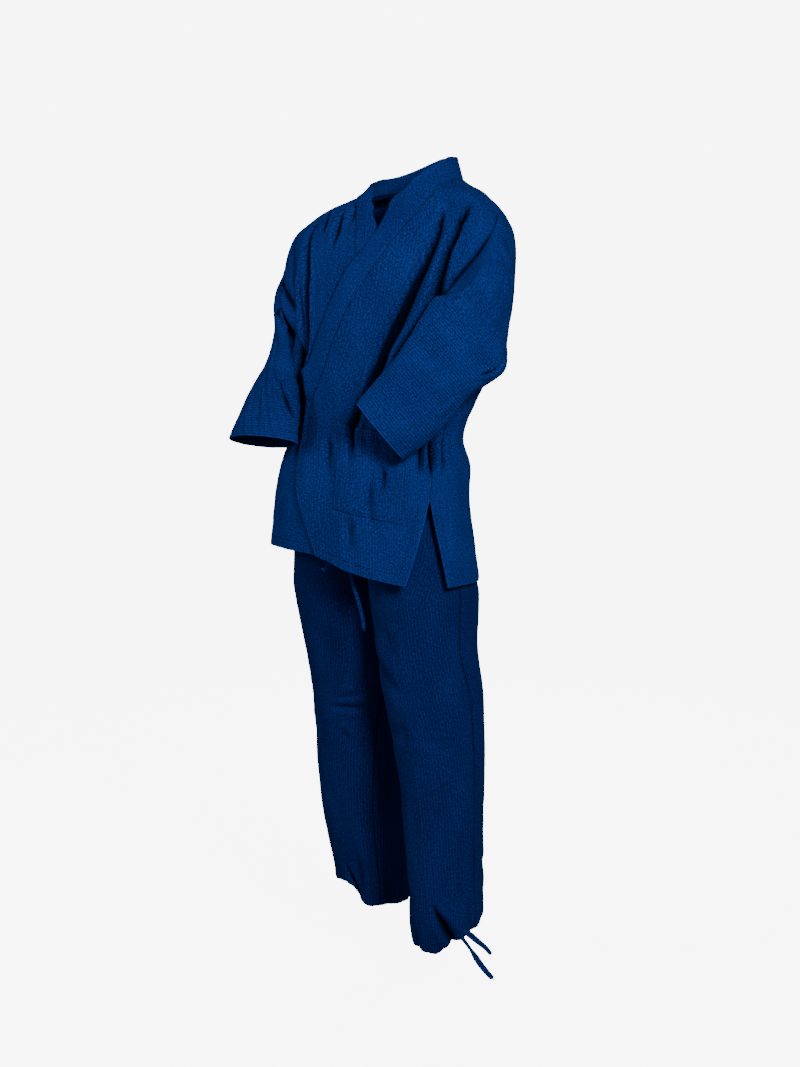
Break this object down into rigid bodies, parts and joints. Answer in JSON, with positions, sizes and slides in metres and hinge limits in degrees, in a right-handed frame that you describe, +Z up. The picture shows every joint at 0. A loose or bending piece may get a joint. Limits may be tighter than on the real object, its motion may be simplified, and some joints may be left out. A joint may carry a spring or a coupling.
{
  "type": "samue jacket and trousers",
  "caption": "Wrapped cotton work jacket with a collar band, loose sleeves and a patch pocket, over drawstring trousers tied at the ankles, in their worn, hollow form.",
  "frame": {"origin": "the middle of the base of the neck, at shoulder height, where the wearer's shoulders and neck carry the jacket", "axes": "+Z up, -Y the way the garment faces, +X towards the wearer's left"},
  "size_m": [0.5469, 0.3718, 1.5238],
  "materials": {
    "jacket_cloth": "indigo ribbed cotton, matt",
    "trouser_cloth": "indigo ribbed cotton, matt",
    "tape": "dark indigo cotton tape, matt"
  },
  "bodies": {
    "root": {"back": "jacket_cloth", "front_left": "jacket_cloth", "front_right": "jacket_cloth", "collar_band": "jacket_cloth", "pocket_left": "jacket_cloth", "sleeve_left": "jacket_cloth", "sleeve_right": "jacket_cloth", "tie_strap_side": "jacket_cloth", "tie_knot": "jacket_cloth", "tie_end_a": "jacket_cloth", "tie_end_b": "jacket_cloth", "leg_front_left": "trouser_cloth", "leg_back_left": "trouser_cloth", "leg_front_right": "trouser_cloth", "leg_back_right": "trouser_cloth", "waistband": "trouser_cloth", "drawstring_knot": "tape", "drawstring_end_a": "tape", "drawstring_end_b": "tape", "ankle_tie_left_a": "tape", "ankle_tie_left_b": "tape", "ankle_tie_right_a": "tape", "ankle_tie_right_b": "tape"}
  },
  "joints": []
}
